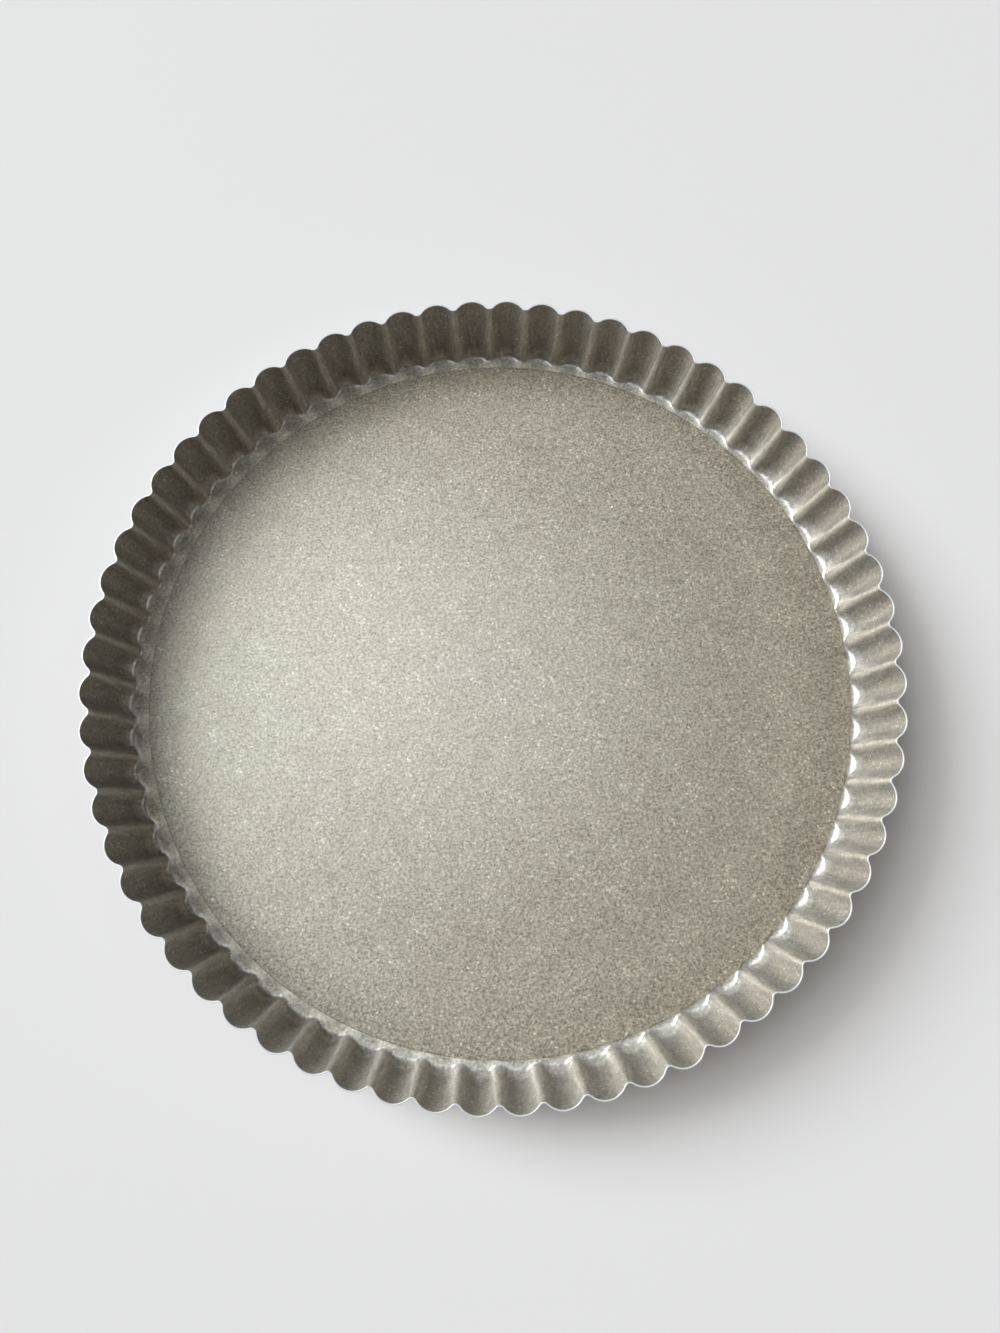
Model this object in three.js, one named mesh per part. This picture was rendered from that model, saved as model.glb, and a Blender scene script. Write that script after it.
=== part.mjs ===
// Fluted tart pan with a loose base: a ring of thin sheet steel, pressed into flutes and turned
// in at the foot to a flat ledge, and a flat round base that lies loose on that ledge.
// Millimetres, +Z up. The origin is under the middle of the ring, on the plane it stands on.
import * as THREE from "three";

// Ring
const ringSheet = 0.5;         // thickness of the ring's sheet
const panHeight = 27.0;        // from the standing plane to the cut edge of the rim
const fluteCount = 64;
const rimDiameter = 280;       // outside, over the flutes, at the rim
const rimFluteDepth = 3.1;     // from the bottom of a flute to the ridge beside it, at the rim
const footDiameter = 270.6;    // outside, over the flutes, where the wall's line meets the ledge
const footFluteDepth = 2.7;    // the same depth at the foot
const ridgeRadius = 1.9;       // rounding of the narrow ridges between flutes, on the inside
const footBend = 1.0;          // inside radius of the bend between wall and ledge

// Loose base
const baseSheet = 0.8;         // thickness of the base
const basePlay = 3.0;          // play all round between a centred base and the feet of the ridges
const baseEdgeGap = 0.4;       // what is left of the play on the side that the base has slid to
const baseSlideAngle = -24;    // direction it has slid in, degrees from +X
const baseSeatGap = 0.3;       // clearance between the base and the ledge
const ledgeLap = 4.5;          // width of ledge still under the base on the side it slid from

// Facets
const flutePieces = 6;         // straight pieces round one flute
const ridgePieces = 3;         // straight pieces round one ridge
const bendPieces = 2;          // straight pieces through the bend at the foot
const basePieces = 160;        // straight pieces round the base

// Sizes that follow
const rimCrest = rimDiameter / 2 - ringSheet;
const footCrest = footDiameter / 2 - ringSheet;
const footRidge = footCrest - footFluteDepth;
const wallLean = Math.atan2(rimCrest - footCrest, panHeight - ringSheet);
const baseRadius = footRidge - basePlay;
const baseSlide = basePlay - baseEdgeGap;
const ledgeHoleRadius = baseRadius - baseSlide - ledgeLap;

// One turn of the fluted wall, seen from above: a wide arc for each flute and a tight arc the
// other way for each ridge, tangent where they meet. The arcs keep their centres when the line
// is offset, so the sheet has one thickness all round. Crest and depth belong to the inside.
function flutedTurn(crest, depth, offset, z) {
  const halfPitch = Math.PI / fluteCount;
  const ridgeCentre = crest - depth + ridgeRadius;
  // The flute's radius for which its arc touches the ridge's arc, from the triangle of the
  // ring's axis and the two arc centres.
  const cosine = Math.cos(halfPitch);
  const span = crest + ridgeRadius;
  const fluteCentre = (span * span - ridgeCentre * ridgeCentre) / (2 * (span - ridgeCentre * cosine));
  const fluteRadius = crest - fluteCentre;
  const rise = ridgeCentre * Math.sin(halfPitch);
  const run = ridgeCentre * cosine - fluteCentre;
  const reach = Math.atan2(rise, run);
  const flute = new THREE.EllipseCurve(
    fluteCentre, 0, fluteRadius + offset, fluteRadius + offset, -reach, reach, false);
  const ridge = new THREE.EllipseCurve(
    ridgeCentre * cosine, rise, ridgeRadius - offset, ridgeRadius - offset,
    reach + Math.PI, 2 * halfPitch - reach + Math.PI, true);
  const flutePoints = flute.getPoints(flutePieces).slice(0, -1);
  const ridgePoints = ridge.getPoints(ridgePieces).slice(0, -1);
  const pitch = [...flutePoints, ...ridgePoints];
  const turn = [];
  for (let i = 0; i < fluteCount; i += 1) {
    for (const point of pitch) {
      const turned = point.clone().rotateAround(new THREE.Vector2(), 2 * halfPitch * i);
      turn.push(new THREE.Vector3(turned.x, turned.y, z));
    }
  }
  return turn;
}

// A plain circle with as many points as a fluted turn, point by point at the same angles.
function roundTurn(radius, like, z) {
  return like.map((point) => new THREE.Vector3(point.x, point.y, 0).setLength(radius).setZ(z));
}

// Skins a list of closed turns, the last joined to the first again, into one closed tube of sheet.
function skin(turns) {
  const count = turns[0].length;
  const index = [];
  for (let i = 0; i < turns.length; i += 1) {
    const here = i * count;
    const next = ((i + 1) % turns.length) * count;
    for (let j = 0; j < count; j += 1) {
      const k = (j + 1) % count;
      index.push(here + j, here + k, next + j);
      index.push(here + k, next + k, next + j);
    }
  }
  const geometry = new THREE.BufferGeometry().setFromPoints(turns.flat());
  geometry.setIndex(index);
  geometry.computeVertexNormals();
  return geometry;
}

// One side of the bend at the foot, inside or outside of the sheet by its radius: turns from the
// wall down to the ledge, round a centre that lies one inside radius over the ledge.
function footTurns(radius) {
  const setBack = footBend * Math.tan(Math.PI / 4 - wallLean / 2);
  const turns = [];
  for (let i = 0; i <= bendPieces; i += 1) {
    const angle = THREE.MathUtils.lerp(wallLean, Math.PI / 2, i / bendPieces);
    const offset = radius * Math.cos(angle) - setBack;
    const z = ringSheet + footBend - radius * Math.sin(angle);
    turns.push(flutedTurn(footCrest, footFluteDepth, offset, z));
  }
  return turns;
}

// Fluted ring: down the inside of the wall, over the ledge, and back up the outside.
function flutedRing() {
  const rimInside = flutedTurn(rimCrest, rimFluteDepth, 0, panHeight);
  const rimOutside = flutedTurn(rimCrest, rimFluteDepth, ringSheet, panHeight);
  const footInside = footTurns(footBend);
  const footOutside = footTurns(footBend + ringSheet);
  const lipTop = roundTurn(ledgeHoleRadius, rimInside, ringSheet);
  const lipUnder = roundTurn(ledgeHoleRadius, rimInside, 0);
  return skin([rimInside, ...footInside, lipTop, lipUnder, ...footOutside.reverse(), rimOutside]);
}

// Loose base: a flat disc stamped from sheet.
function looseBase() {
  const profile = [
    new THREE.Vector2(0, 0),
    new THREE.Vector2(baseRadius, 0),
    new THREE.Vector2(baseRadius, baseSheet),
    new THREE.Vector2(0, baseSheet),
  ];
  return new THREE.LatheGeometry(profile, basePieces).rotateX(Math.PI / 2);
}

const ringCoating = new THREE.MeshStandardMaterial({ color: 0x9a9384, roughness: 0.5, metalness: 0.4 });
const baseCoating = new THREE.MeshStandardMaterial({ color: 0xa39c8d, roughness: 0.5, metalness: 0.4 });

const ring = new THREE.Mesh(flutedRing(), ringCoating);
ring.name = "fluted_ring";

const base = new THREE.Mesh(looseBase(), baseCoating);
base.name = "loose_base";
const slideAngle = THREE.MathUtils.degToRad(baseSlideAngle);
base.position.set(
  baseSlide * Math.cos(slideAngle),
  baseSlide * Math.sin(slideAngle),
  ringSheet + baseSeatGap,
);

const tartPan = new THREE.Group();
tartPan.name = "tart_pan";
tartPan.add(ring, base);

export default tartPan;
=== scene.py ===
import bpy
import numpy as np
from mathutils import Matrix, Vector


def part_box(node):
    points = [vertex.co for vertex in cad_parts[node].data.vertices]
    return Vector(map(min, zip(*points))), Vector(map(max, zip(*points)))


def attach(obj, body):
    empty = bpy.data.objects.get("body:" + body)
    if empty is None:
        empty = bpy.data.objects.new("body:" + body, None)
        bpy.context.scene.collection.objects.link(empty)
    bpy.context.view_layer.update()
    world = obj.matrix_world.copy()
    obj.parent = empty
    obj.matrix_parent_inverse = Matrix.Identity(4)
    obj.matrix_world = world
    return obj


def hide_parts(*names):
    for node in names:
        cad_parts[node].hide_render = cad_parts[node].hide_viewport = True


# The frame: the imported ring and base, at rest, in metres.
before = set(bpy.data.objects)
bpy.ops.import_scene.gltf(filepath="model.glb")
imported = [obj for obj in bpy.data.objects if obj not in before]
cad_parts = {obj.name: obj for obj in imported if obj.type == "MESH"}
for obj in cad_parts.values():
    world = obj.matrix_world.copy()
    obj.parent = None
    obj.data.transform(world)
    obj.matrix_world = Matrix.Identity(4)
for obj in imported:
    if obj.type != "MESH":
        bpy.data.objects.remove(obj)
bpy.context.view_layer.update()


# Fluted ring
# The wall of the pan: thin sheet steel, pressed into round flutes with a narrow ridge between
# each two, and turned in at the foot to a flat ledge that carries the base. It is coated before
# the rim is trimmed, so the cut edge shows bare bright steel all round.

ring_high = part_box("fluted_ring")[1]
flute_count = 64
ring_sheet = 0.0005
rim_height = ring_high.z
rim_crest = ring_high.x - ring_sheet       # inside of the sheet, at the bottom of a flute
rim_flute_depth = 0.0031
rim_ridge_radius = 0.0019                  # rounding of the ridges on the inside
foot_crest = 0.1348
foot_flute_depth = 0.0027
foot_ridge_radius = 0.0030                 # the ridges are blunter at the foot
ridge_foot_bend = 0.0012                   # inside radius of the bend at the foot of a ridge
flute_foot_bend = 0.0030                   # and in a flute, where the sheet is eased more
ledge_hole_radius = 0.1220
edge_rounding = 0.00015
wall_lean = np.arctan2(rim_crest - foot_crest, rim_height - ring_sheet)

bare_edge_drop = 0.0002                    # how far down from the top the trimmed edge is bare
burnish_height = 0.012                     # the press burnishes the wall fully from here up
bend_burnish = 0.45                        # and the bend at the foot in part
bend_highlight = 0.9                            # inside the bend at the foot, a painted highlight nearly as pale as a worn ridge
outside_wear = 0.4                         # outside, the flutes are worn less than the ridges inside
wear_sharpness = 4                         # the higher, the narrower the worn stripes

# Steps of the ring's grid along a pitch, and its rows down the section
flute_steps = 16
ridge_steps = 8
wall_rows = 8
bend_rows = 9
edge_rows = 4
ledge_places = np.array([0.15, 0.3, 0.6, 0.9, 0.98])[:, None]


def fluted_turns(crest, depth, ridge_radius, offset):
    """Turns of the fluted wall seen from above, as points x + iy, one row for each entry of crest.

    A flute is an arc bulging outwards, and a ridge a tighter arc bulging inwards that is tangent
    to it: the flute's radius follows from the triangle of the ring's axis and the two arc centres.
    An offset turn keeps the centres and changes the radii; the offset may differ along a pitch."""
    crest, depth, ridge_radius = (size[:, None, None] for size in (crest, depth, ridge_radius))
    offset = np.broadcast_to(offset, (len(crest), flute_steps + ridge_steps))[:, None, :]
    half_pitch = np.pi / flute_count
    ridge_centre = crest - depth + ridge_radius
    span = crest + ridge_radius
    flute_centre = (span**2 - ridge_centre**2) / (2 * (span - ridge_centre * np.cos(half_pitch)))
    reach = np.angle(ridge_centre * np.exp(1j * half_pitch) - flute_centre)
    along_flute = np.linspace(-1, 1, flute_steps, endpoint=False)
    along_ridge = np.linspace(1, -1, ridge_steps, endpoint=False)
    flute_radius = crest - flute_centre + offset[..., :flute_steps]
    flute = flute_centre + flute_radius * np.exp(1j * reach * along_flute)
    facing = np.exp(1j * (half_pitch + (reach - half_pitch) * along_ridge))
    ridge = ridge_centre * np.exp(1j * half_pitch) - (ridge_radius - offset[..., flute_steps:]) * facing
    pitch = np.concatenate([flute, ridge], axis=2)
    turned = pitch * np.exp(2j * half_pitch * np.arange(flute_count))[None, :, None]
    return turned.reshape(len(pitch), -1)


def sheet_section(foot_bend):
    """The sheet's section, down the inside, over the ledge and up the outside, for a row of bend radii.

    Its five tables hold, by section row and bend: way down the wall (0 rim, 1 foot), offset outwards
    from the inside face, height, way over the ledge (0 fluted foot, 1 round hole), and whether the
    steel is bare. The bend is an arc round a centre one inside radius over the ledge, tangent to
    wall and ledge, and the cut edges are rounded with quarter arcs."""
    foot_bend = np.atleast_2d(foot_bend)
    turn = np.linspace(wall_lean, np.pi / 2, bend_rows)[:, None]
    quarter = np.linspace(0, np.pi / 2, edge_rows)[:, None]
    arc_in = edge_rounding * (1 - np.cos(quarter))
    arc_up = edge_rounding * (1 - np.sin(quarter))

    def rows(down, offset, height, over=0, bare=0):
        """A band of section rows, its five tables spread over the band's rows and all bends."""
        tables = [np.atleast_2d(table) for table in (down, offset, height, over, bare)]
        shape = np.broadcast_shapes(foot_bend.shape, *(table.shape for table in tables))
        return np.stack([np.broadcast_to(table, shape) for table in tables])

    def foot(radius):
        """The bend on one face of the sheet, by its radius there, from the wall to the ledge."""
        set_back = foot_bend * np.tan(np.pi / 4 - wall_lean / 2)
        return rows(1, radius * np.cos(turn) - set_back, ring_sheet + foot_bend - radius * np.sin(turn))

    def wall(face, foot_row):
        """Straight down one face, from the edge's bare strip to the first row of the bend. The rows
        lie close together under the strip, so that the coating starts sharply."""
        strip_end = bare_edge_drop / rim_height
        coat_start = strip_end * 1.3
        wide_start = strip_end * 6
        wide_rows = np.linspace(wide_start, 1, wall_rows + 1)[:-1]
        down = np.concatenate([[strip_end, coat_start], wide_rows])[:, None]
        offset = face + (foot_row[1] - face) * down
        height = rim_height + (foot_row[2] - rim_height) * down
        return rows(down, offset, height, bare=down <= strip_end)

    inside = foot(foot_bend)
    outside = foot(foot_bend + ring_sheet)
    lip = 1 - arc_in / (foot_crest - ledge_hole_radius)
    return np.concatenate([
        rows(0, arc_in, rim_height - arc_up, bare=1)[:, ::-1],
        wall(0, inside[:, 0]),
        inside,
        rows(1, inside[1, -1], ring_sheet, ledge_places),
        rows(1, inside[1, -1], ring_sheet - arc_up, lip)[:, ::-1],
        rows(1, inside[1, -1], arc_up, lip),
        rows(1, outside[1, -1], 0, ledge_places)[:, ::-1],
        outside[:, ::-1],
        wall(ring_sheet, outside[:, 0])[:, ::-1],
        rows(0, ring_sheet - arc_in, rim_height - arc_up, bare=1),
    ], axis=1)


def ring_surface():
    """The section carried round the flutes: a grid of points (section, turn, xyz), and by point how bare
    the steel is, how worn the coating is with its painted highlight, how far the press has burnished it
    and whether it is flat.

    Each section row is a fluted turn, blended towards a plain circle as it goes over the ledge. The
    bend at the foot eases from its ridge radius to its flute radius as a cosine along each pitch. The
    coating is worn where the sheet stands proud: on the ridges inside, on the flutes outside, as a
    power of that cosine, and inside the bend at the foot. On the ridges inside this is partly painted
    highlight, and inside the bend it is painted highlight. Half of the section's rows are inside, half
    outside. The press burnishes the wall, from not at all at its foot to fully at burnish_height, the
    bend in part and the ledge fully. The ledge alone is flat."""
    rim_sizes = (np.array([size]) for size in (rim_crest, rim_flute_depth, rim_ridge_radius))
    rim = fluted_turns(*rim_sizes, 0)[0]
    pitch = np.angle(rim[:len(rim) // flute_count])
    in_flute = (1 + np.cos(flute_count * pitch)) / 2
    foot_bend = ridge_foot_bend + (flute_foot_bend - ridge_foot_bend) * in_flute
    down, offset, height, over, bare = sheet_section(foot_bend)
    crest = rim_crest + (foot_crest - rim_crest) * down[:, 0]
    depth = rim_flute_depth + (foot_flute_depth - rim_flute_depth) * down[:, 0]
    ridge_radius = rim_ridge_radius + (foot_ridge_radius - rim_ridge_radius) * down[:, 0]
    turns = fluted_turns(crest, depth, ridge_radius, offset)

    flat = over > 0
    is_bend = (down == 1) & ~flat
    is_inside = np.arange(len(down))[:, None] < len(down) // 2
    # paler ridges inside: partly wear, partly painted highlight
    ridge_wear_and_highlight = (1 - in_flute)**wear_sharpness
    flute_wear = outside_wear * in_flute**wear_sharpness
    worn = np.where(is_inside, ridge_wear_and_highlight, flute_wear) * (1 - over)
    # painted highlight inside the bend at the foot, as a paler coating
    worn = np.where(is_bend & is_inside, np.maximum(worn, bend_highlight), worn)
    burnished = np.clip((height - ring_sheet) / (burnish_height - ring_sheet), 0, 1)
    burnished = np.where(is_bend, bend_burnish, np.where(flat, 1, burnished))

    height, over, bare, worn, burnished, flat = (
        np.tile(table, flute_count) for table in (height, over, bare, worn, burnished, flat))
    turns = turns + (ledge_hole_radius * turns / np.abs(turns) - turns) * over
    finish = {
        "bare_steel": bare,
        "worn_and_highlit_coating": worn,
        "burnished_coating": burnished,
        "flat_coating": flat,
    }
    return np.stack([turns.real, turns.imag, height], -1), finish


def grid_faces(rows, columns):
    """Quads over a grid of numbered points that closes on itself both ways."""
    number = np.arange(rows * columns).reshape(rows, columns)
    below = np.roll(number, -1, axis=0)
    return np.stack([number, np.roll(number, -1, 1), np.roll(below, -1, 1), below], -1).reshape(-1, 4)


def mesh_piece(name, points, faces):
    """A smooth mesh object from an array of points and a list of faces."""
    mesh = bpy.data.meshes.new(name)
    mesh.from_pydata(points.reshape(-1, 3).tolist(), [], faces)
    mesh.polygons.foreach_set("use_smooth", np.ones(len(mesh.polygons), bool))
    mesh.update()
    piece = bpy.data.objects.new(name, mesh)
    bpy.context.scene.collection.objects.link(piece)
    return piece


ring_points, ring_finish = ring_surface()
ring = mesh_piece("ring_sheet", ring_points, grid_faces(*ring_points.shape[:2]).tolist())
for attribute_name, values in ring_finish.items():
    attribute = ring.data.attributes.new(attribute_name, "FLOAT", "POINT")
    attribute.data.foreach_set("value", values.ravel().astype(np.float32))


class Shade:
    """A socket in a material's nodes, so that shader maths is written as plain expressions."""

    def __init__(self, tree, socket=None):
        self.tree = tree
        self.socket = socket

    def node(self, kind, settings=None, inputs=None, output=0):
        """Adds any node: its settings first, then the values or links of its inputs."""
        made = self.tree.nodes.new(kind)
        for key, value in (settings or {}).items():
            setattr(made, key, value)
        for key, value in (inputs or {}).items():
            if isinstance(value, Shade):
                self.tree.links.new(value.socket, made.inputs[key])
            else:
                made.inputs[key].default_value = value
        return Shade(self.tree, made.outputs[output])

    def math(self, operation, *values):
        """A Math node on values or numbers."""
        return self.node("ShaderNodeMath", {"operation": operation}, dict(enumerate(values)))

    def blend(self, share, colour, other, way="MIX"):
        """From a colour to another, or with MULTIPLY to their product, as the share goes from 0 to 1.
        The numbers are the Mix node's sockets for its factor, its two colours and its result."""
        settings = {"data_type": "RGBA", "blend_type": way}
        return self.node("ShaderNodeMix", settings, {0: share, 6: colour, 7: other}, output=2)

    def __add__(self, other):
        return self.math("ADD", self, other)

    def __sub__(self, other):
        return self.math("SUBTRACT", self, other)

    def __rsub__(self, other):
        return self.math("SUBTRACT", other, self)

    def __mul__(self, other):
        return self.math("MULTIPLY", self, other)

    __radd__ = __add__
    __rmul__ = __mul__


def new_material(name):
    """An empty material with its surface output, and a Shade to add its nodes with."""
    material = bpy.data.materials.new(name)
    material.use_nodes = True
    material.node_tree.nodes.clear()
    output = material.node_tree.nodes.new("ShaderNodeOutputMaterial")
    return material, Shade(material.node_tree), output.inputs["Surface"]


def noise(shade, place, size, detail, roughness):
    """Smooth noise about 0, in lumps of the given size."""
    inputs = {"Vector": place, "Scale": 1 / size, "Detail": detail, "Roughness": roughness}
    return shade.node("ShaderNodeTexNoise", None, inputs, output="Fac") - 0.5


flake_metal = 0.1                          # how far the flakes and the grain vary the metal
flake_rough = 0.1                          # and the roughness of the coating
grain_rough = 0.2


def coating_film(shade, place):
    """What varies over the satin coating, all about 0: a fine grain, flakes that each have one random
    value, a broad mottle, and the speckle of the last two with the brightest flakes glinting."""
    flake_size = 0.0007
    flake_contrast = 0.3
    mottle_contrast = 0.2
    mottle_glint = 0.3
    glint_limit = 0.44
    glint_gain = 5.0
    grain = noise(shade, place, size=0.0009, detail=3, roughness=0.7)
    mottle = noise(shade, place, size=0.012, detail=4, roughness=0.6)
    cells = {"Vector": place, "Scale": 1 / flake_size}
    flakes = shade.node("ShaderNodeTexVoronoi", None, cells, output="Color")
    flake = shade.node("ShaderNodeSeparateColor", None, {"Color": flakes}, output="Red") - 0.5
    glint = shade.math("MAXIMUM", flake + mottle * mottle_glint - glint_limit, 0.0) * glint_gain
    return grain, flake, mottle, flake * flake_contrast + mottle * mottle_contrast + glint


def coating_colour(shade, tone, level, mottle):
    """The tone times the level, within limits, and times a tint from warm to cool by the mottle."""
    least = 0.4
    most = 1.9
    dark = (*(least * part for part in tone), 1)
    bright = (*(most * part for part in tone), 1)
    warm = (1.012, 0.996, 0.985, 1)
    cool = (0.988, 1.004, 1.015, 1)
    mottle_tint = 1.5
    colour = shade.blend((level - least) * (1 / (most - least)), dark, bright)
    tint = shade.blend(0.5 + mottle * mottle_tint, warm, cool)
    return shade.blend(1.0, colour, tint, "MULTIPLY")


def finish_coating(shade, surface, colour, metal, rough, grain, pebble_height):
    """The coating's shader, with its grain standing up as small pebbles."""
    pebbles = shade.node("ShaderNodeBump", None, {
        "Height": grain, "Strength": 0.5, "Distance": pebble_height}, output="Normal")
    finish = shade.node("ShaderNodeBsdfPrincipled", None, {
        "Base Color": colour, "Metallic": metal, "Roughness": rough, "Normal": pebbles})
    shade.tree.links.new(finish.socket, surface)


def ring_coating():
    """Satin metallic non-stick coating over the pressed sheet: a warm grey, drawn into streaks down the
    wall, paler where it is worn, which on the ridges inside is partly and in the bend at the foot wholly
    painted highlight, duller where the press has not burnished it and there darker and browner as
    painted shade at the foot of the wall, rougher and grainier on the flat ledge, and gone where the
    steel is bare."""
    tone = (0.526, 0.500, 0.461)
    metal = 0.78
    rough = 0.375
    plain_level = 0.86
    graininess = 0.7
    ledge_graininess = 1.2
    streak_size = 0.0012
    streak_squeeze = (1, 1, 0.07)          # streaks are this much longer down the wall
    streak_contrast = 0.5
    worn_and_highlight_gain = 0.5
    worn_streak_contrast = 0.8
    # painted shade at the foot of the wall: darker and browner where the coating is not burnished
    foot_shade_loss = 0.15
    foot_shade_tint = (1.0, 0.965, 0.90, 1)
    dull_metal_loss = 0.35
    dull_rough = 0.06
    ledge_gain = 0.14
    ledge_tint = (1.0, 0.975, 0.885, 1)
    ledge_metal = 0.15
    ledge_rough = 0.25
    bare_steel = (0.84, 0.83, 0.80, 1)
    bare_metal = 0.3
    bare_rough = 0.4
    pebble_height = 0.000063

    material, shade, surface = new_material("ring_coating")
    place = shade.node("ShaderNodeTexCoord", output="Object")
    bare, worn, burnished, flat = (
        shade.node("ShaderNodeAttribute", {"attribute_name": key}, output="Fac") for key in ring_finish)
    dull_and_shaded = 1 - burnished
    grain, flake, mottle, speckle = coating_film(shade, place)
    drawn = shade.node("ShaderNodeMapping", None, {"Vector": place, "Scale": streak_squeeze})
    streak = noise(shade, drawn, size=streak_size, detail=2, roughness=0.5)
    level = plain_level + grain * graininess + speckle + streak * streak_contrast
    # paleness by the worn coating: wear, with painted highlight on the inside ridges and in the bend
    level = level + worn * (worn_and_highlight_gain + streak * worn_streak_contrast) - dull_and_shaded * foot_shade_loss
    level = level + flat * (ledge_gain + grain * ledge_graininess)
    colour = coating_colour(shade, tone, level, mottle)
    colour = shade.blend(flat, colour, ledge_tint, "MULTIPLY")
    # painted shade, browner at the foot of the wall
    colour = shade.blend(dull_and_shaded, colour, foot_shade_tint, "MULTIPLY")
    colour = shade.blend(bare, colour, bare_steel)
    metal = metal + flake * flake_metal - dull_and_shaded * dull_metal_loss + flat * ledge_metal
    rough = rough + flake * flake_rough + grain * grain_rough + dull_and_shaded * dull_rough + flat * ledge_rough
    metal = metal * (1 - bare) + bare * bare_metal
    rough = rough * (1 - bare) + bare * bare_rough
    finish_coating(shade, surface, colour, metal, rough, grain, pebble_height)
    return material


ring.data.materials.append(ring_coating())
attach(ring, "ring")
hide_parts("fluted_ring")


# Loose base
# A flat disc stamped from sheet steel and coated like the ring. Nothing fastens it: it lies on the
# ledge, here slid against the feet of the ridges on one side, and is pushed out from below.

base_low, base_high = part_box("loose_base")
base_centre = (base_low + base_high) / 2
base_radius = (base_high.x - base_low.x) / 2
base_edge_rounding = 0.00025
base_turn_steps = 360
base_rows = 24
base_row_crowding = 1.6                    # above 1, the rows lie closer towards the edge
base_edge_rows = 9


def disc_surface():
    """A profile of radius and height turned about the disc's axis, from the middle of the underside
    out over the rounded edge to the middle of the top. The two middles are single points, the last."""
    inwards = np.linspace(1, 0, base_rows + 1)[1:]
    across = (1 - inwards**base_row_crowding) * (base_radius - base_edge_rounding)
    over = np.linspace(-np.pi / 2, np.pi / 2, base_edge_rows)
    edge_radius = across[-1] + base_edge_rounding * np.cos(over)
    edge_centre = np.where(over < 0, base_low.z + base_edge_rounding, base_high.z - base_edge_rounding)
    edge_height = edge_centre + base_edge_rounding * np.sin(over)
    flat = np.ones(base_rows - 1)
    radius = np.concatenate([across[:-1], edge_radius, across[-2::-1]])
    height = np.concatenate([flat * base_low.z, edge_height, flat * base_high.z])
    angle = np.linspace(0, 2 * np.pi, base_turn_steps, endpoint=False)
    points = np.stack([
        base_centre.x + radius[:, None] * np.cos(angle),
        base_centre.y + radius[:, None] * np.sin(angle),
        np.broadcast_to(height[:, None], (len(height), base_turn_steps)),
    ], -1).reshape(-1, 3)
    middles = np.array([[base_centre.x, base_centre.y, base_low.z],
                        [base_centre.x, base_centre.y, base_high.z]])
    number = np.arange(len(points)).reshape(len(radius), base_turn_steps)
    beside = np.roll(number, -1, 1)
    sides = np.stack([number[:-1], beside[:-1], beside[1:], number[1:]], -1).reshape(-1, 4)
    below = np.stack([np.full(base_turn_steps, len(points)), beside[0], number[0]], -1)
    above = np.stack([np.full(base_turn_steps, len(points) + 1), number[-1], beside[-1]], -1)
    return np.concatenate([points, middles]), sides.tolist() + below.tolist() + above.tolist()


def step(shade, value, start, end, first=0.0, last=1.0):
    """Smoothly from first, where the value is at start or short of it, to last at end and past it."""
    return shade.node("ShaderNodeMapRange", {"interpolation_type": "SMOOTHSTEP"}, {
        "Value": value, "From Min": start, "From Max": end, "To Min": first, "To Max": last})


def base_coating():
    """The same coating on the flat disc, rougher and grainier. As it is fitted, its colour is paler towards
    the middle, painted light, partly wear; darker in a border along the edge, painted shade from the
    wall; browner outwards; and less brown on the side facing the lamps, their painted cool sheen.
    Wear and the room's light can't be told apart in the middle, so this is fitted, not known."""
    tone = (0.528, 0.485, 0.407)
    metal = 0.93
    rough = 0.63
    graininess = 2.1
    middle_light_gain = 0.185
    border_shade_loss = 0.19
    edge_reach = 0.131                     # about as far as the base reaches from the axis
    edge_tint = (1.0, 0.958, 0.895, 1)
    lamp_side_sheen_tint = (0.945, 1.0, 1.045, 1)
    pebble_height = 0.000189

    material, shade, surface = new_material("base_coating")
    place = shade.node("ShaderNodeTexCoord", output="Object")
    from_middle = shade.node("ShaderNodeVectorMath", {"operation": "LENGTH"}, {0: place}, output="Value")
    across = shade.node("ShaderNodeSeparateXYZ", None, {"Vector": place}, output="X")
    # paler towards the middle: painted light, partly wear
    paler = step(shade, from_middle, start=0.02, end=0.105, first=middle_light_gain, last=0.0)
    # darker in a border along the edge: painted shade from the wall
    border = step(shade, from_middle, start=0.108, end=edge_reach)
    # less brown on the side facing the lamps: their painted cool sheen
    lamp_side_sheen = step(shade, across, start=0.02, end=-edge_reach)
    grain, flake, mottle, speckle = coating_film(shade, place)
    level = 1 + grain * graininess + speckle + paler - border * border_shade_loss
    colour = coating_colour(shade, tone, level, mottle)
    colour = shade.blend(from_middle * (1 / edge_reach), colour, edge_tint, "MULTIPLY")
    # painted cool sheen of the lamps on their side
    colour = shade.blend(lamp_side_sheen, colour, lamp_side_sheen_tint, "MULTIPLY")
    metal = metal + flake * flake_metal
    rough = rough + flake * flake_rough + grain * grain_rough
    finish_coating(shade, surface, colour, metal, rough, grain, pebble_height)
    return material


base = mesh_piece("base_disc", *disc_surface())
base.data.materials.append(base_coating())
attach(base, "base")
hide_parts("loose_base")


# Floor, light and camera
# A plain pale floor under the pan, four wide soft lamps on its upper left, a weak fill from the right
# and a weaker warm one from the front, under a faint sky. The camera is where the photograph was taken
# from, close over the near side of the pan.

floor_half = 3.0
floor_colour = (0.855, 0.80, 0.76, 1)
floor_rough = 0.8
floor_corners = np.array([[-1, -1, 0], [1, -1, 0], [1, 1, 0], [-1, 1, 0]]) * floor_half
floor = mesh_piece("floor", floor_corners, [[0, 1, 2, 3]])
floor_material, shade, surface = new_material("floor_paper")
paper = shade.node("ShaderNodeBsdfPrincipled", None, {"Base Color": floor_colour, "Roughness": floor_rough})
shade.tree.links.new(paper.socket, surface)
floor.data.materials.append(floor_material)


def soft_sun(name, level, azimuth, elevation, half_width, colour):
    """A far, wide lamp that gives a level white sheet the stated share of full white."""
    data = bpy.data.lights.new(name, "SUN")
    data.energy = np.pi * level / np.sin(np.radians(elevation))
    data.angle = 2 * np.radians(half_width)
    data.color = colour
    lamp = bpy.data.objects.new(name, data)
    lamp.rotation_euler = (0, np.radians(90 - elevation), np.radians(azimuth))
    bpy.context.scene.collection.objects.link(lamp)


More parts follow.
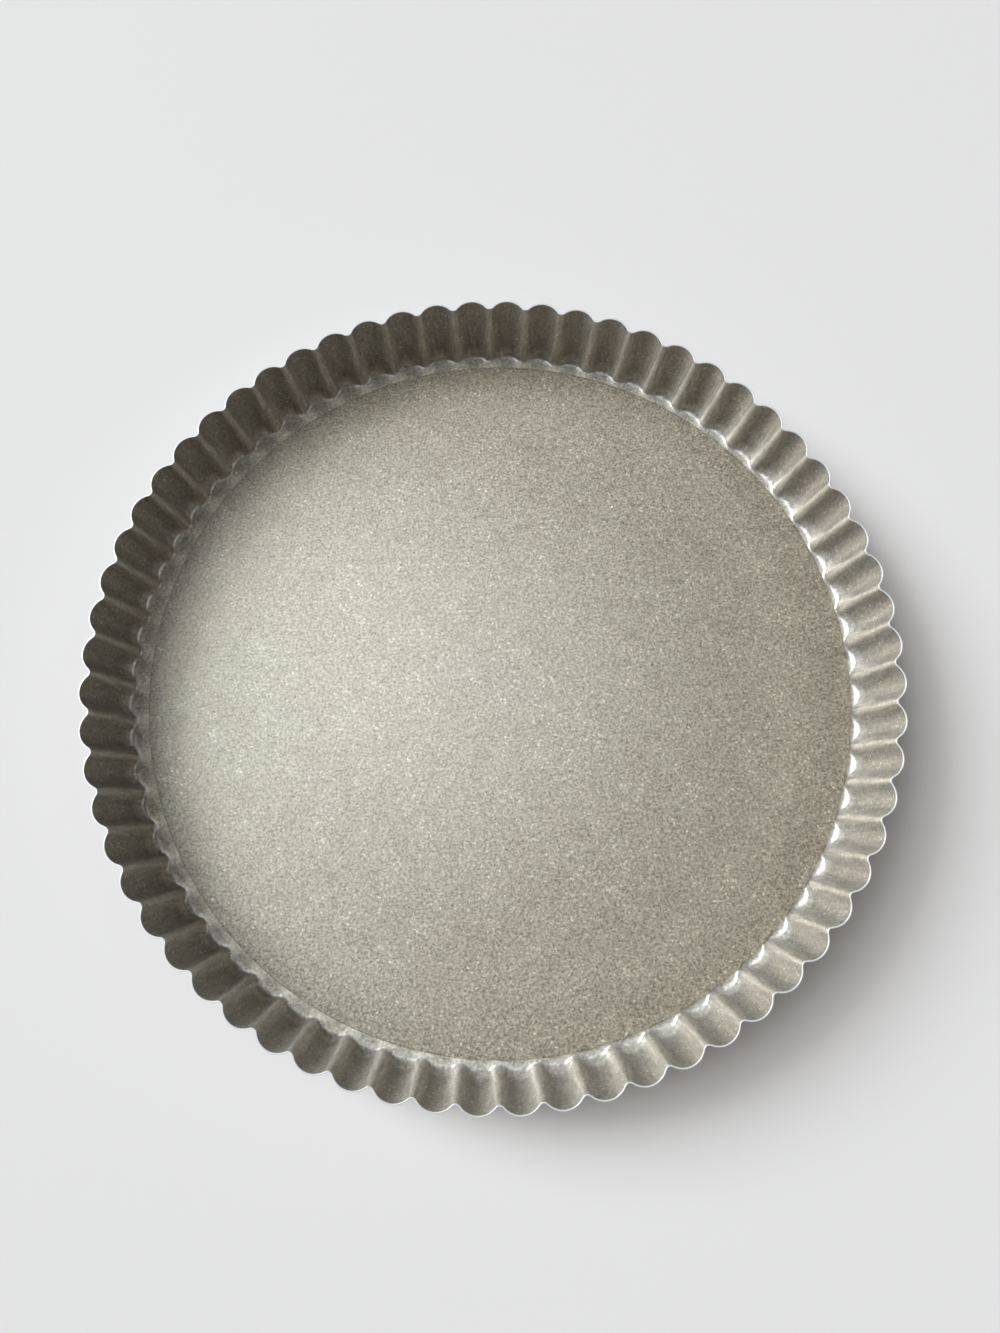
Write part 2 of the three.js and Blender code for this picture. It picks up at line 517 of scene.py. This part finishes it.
cool = (0.93, 1.0, 1.06)
soft_sun("key_low", level=0.405, azimuth=150, elevation=31, half_width=13, colour=(0.91, 1.0, 1.085))
soft_sun("key_middle", level=0.17, azimuth=146, elevation=48, half_width=12, colour=cool)
soft_sun("key_side", level=0.10, azimuth=164, elevation=48, half_width=12, colour=(0.965, 1.0, 1.02))
soft_sun("key_top", level=0.195, azimuth=164, elevation=68, half_width=12, colour=cool)
soft_sun("fill", level=0.07, azimuth=0, elevation=52, half_width=14, colour=(0.98, 1.0, 0.99))
soft_sun("front", level=0.009, azimuth=290, elevation=32, half_width=14, colour=(1.35, 1.0, 0.72))

sky_level = 0.01
sky_horizon_level = 0.105
sky_fade = 9.0                             # the higher, the closer its glow keeps to the horizon
sky_colour = (1.1, 1.0, 0.92, 1)
sky = bpy.data.worlds.new("faint_sky")
sky.use_nodes = True
background = sky.node_tree.nodes["Background"]
shade = Shade(sky.node_tree)
direction = shade.node("ShaderNodeTexCoord", output="Generated")
up = shade.node("ShaderNodeSeparateXYZ", None, {"Vector": direction}, output="Z")
glow = shade.math("EXPONENT", shade.math("MAXIMUM", up, 0.0) * -sky_fade)
sky_strength = sky_level + sky_horizon_level * glow
sky.node_tree.links.new(sky_strength.socket, background.inputs["Strength"])
background.inputs["Color"].default_value = sky_colour
bpy.context.scene.world = sky

photo_turn = np.radians(-3.615)            # from the photograph's axes to the pan's
camera_tilt = np.radians(11.81)
camera_roll = np.radians(-0.347)
eye_across = 0.0003
eye_back = -0.0568
eye_height = 0.3001
camera_data = bpy.data.cameras.new("camera")
camera_data.sensor_fit = "VERTICAL"
camera_data.sensor_height = 36.0
camera_data.lens = 22.23
camera_data.clip_start = 0.01
camera = bpy.data.objects.new("camera", camera_data)
camera.location = (
    eye_across * np.cos(photo_turn) - eye_back * np.sin(photo_turn),
    eye_across * np.sin(photo_turn) + eye_back * np.cos(photo_turn),
    eye_height)
camera.rotation_euler = (camera_tilt, camera_roll, photo_turn)
bpy.context.scene.collection.objects.link(camera)
bpy.context.scene.camera = camera
bpy.context.scene.view_settings.view_transform = "Standard"
